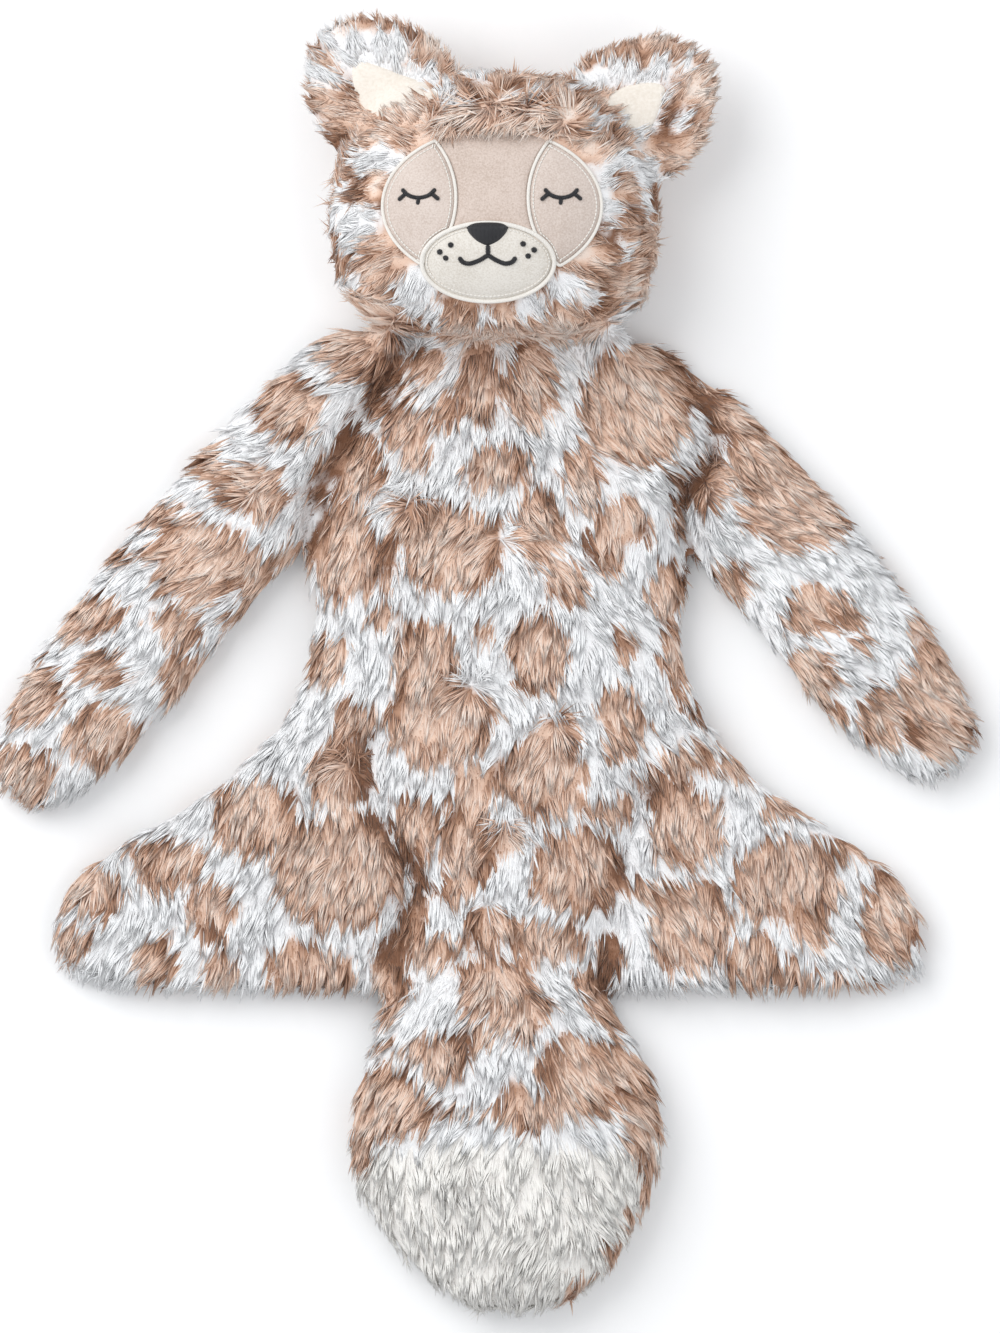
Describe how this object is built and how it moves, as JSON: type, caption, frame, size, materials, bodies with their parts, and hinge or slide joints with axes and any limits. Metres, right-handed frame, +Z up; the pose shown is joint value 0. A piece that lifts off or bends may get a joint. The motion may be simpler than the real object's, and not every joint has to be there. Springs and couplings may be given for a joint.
{
  "type": "comfort blanket lovey",
  "caption": "Flat plush animal comfort blanket lying on its back, with a stuffed head, folding ears, limp arms and a full tail hung on a wide flared body.",
  "frame": {"origin": "on the surface the toy lies on, under the middle of its bounding box", "axes": "+Z up out of the toy's belly and face, +Y from the tail towards the head, +X to the right seen from above"},
  "size_m": [0.3731, 0.4963, 0.0762],
  "materials": {
    "tan_fur": "long plush pile, warm tan with white spots that have darker rims",
    "white_fur": "long plush pile, cool white",
    "cream_fur": "long plush pile, cream",
    "cream_cloth": "short velour, cream",
    "face_cloth": "short velour, beige pink",
    "eye_cloth": "short velour, pale beige pink",
    "black_thread": "satin embroidery thread, black",
    "wadding": "white polyester fibre filling, hidden"
  },
  "bodies": {
    "torso": {"torso_front_panel": "white_fur", "torso_back_panel": "white_fur", "torso_batting": "wadding"},
    "left_arm": {"left_arm_front_panel": "tan_fur", "left_arm_back_panel": "tan_fur", "left_arm_batting": "wadding"},
    "right_arm": {"right_arm_front_panel": "tan_fur", "right_arm_back_panel": "tan_fur", "right_arm_batting": "wadding"},
    "tail": {"tail_front_panel": "tan_fur", "tail_back_panel": "tan_fur", "tail_tip_front_panel": "cream_fur", "tail_tip_back_panel": "cream_fur", "tail_stuffing": "wadding"},
    "head": {"head_front_panel": "tan_fur", "head_back_panel": "tan_fur", "head_stuffing": "wadding", "brow_panel": "face_cloth", "left_eye_panel": "eye_cloth", "right_eye_panel": "eye_cloth", "muzzle_panel": "cream_cloth", "left_eye_piping": "cream_cloth", "right_eye_piping": "cream_cloth", "muzzle_piping": "cream_cloth", "nose_stitching": "black_thread", "mouth_stitching": "black_thread", "left_eye_stitching": "black_thread", "right_eye_stitching": "black_thread"},
    "left_ear": {"left_ear_front_panel": "tan_fur", "left_ear_back_panel": "tan_fur", "left_ear_lining": "cream_cloth"},
    "right_ear": {"right_ear_front_panel": "tan_fur", "right_ear_back_panel": "tan_fur", "right_ear_lining": "cream_cloth"}
  },
  "joints": [
    {"name": "left_shoulder_fold", "type": "hinge", "parent": "torso", "child": "left_arm", "pos_m": [-0.05404, 0.0856, 0.0215], "axis": [0.3003, 0.9538, 0], "range_deg": [0, 120]},
    {"name": "right_shoulder_fold", "type": "hinge", "parent": "torso", "child": "right_arm", "pos_m": [0.06435, 0.0856, 0.0215], "axis": [0.3091, -0.951, 0], "range_deg": [0, 120]},
    {"name": "tail_fold", "type": "hinge", "parent": "torso", "child": "tail", "pos_m": [0.0012, -0.118, 0.0165], "axis": [-1, 0, 0], "range_deg": [0, 120]},
    {"name": "neck_nod", "type": "hinge", "parent": "torso", "child": "head", "pos_m": [0.0035, 0.12651, 0.0205], "axis": [1, 0, 0], "range_deg": [0, 40]},
    {"name": "left_ear_fold", "type": "hinge", "parent": "head", "child": "left_ear", "pos_m": [-0.03964, 0.21893, 0.031], "axis": [0.8039, 0.5948, 0], "range_deg": [-20, 60]},
    {"name": "right_ear_fold", "type": "hinge", "parent": "head", "child": "right_ear", "pos_m": [0.05661, 0.20999, 0.031], "axis": [0.7314, -0.682, 0], "range_deg": [-20, 60]}
  ]
}
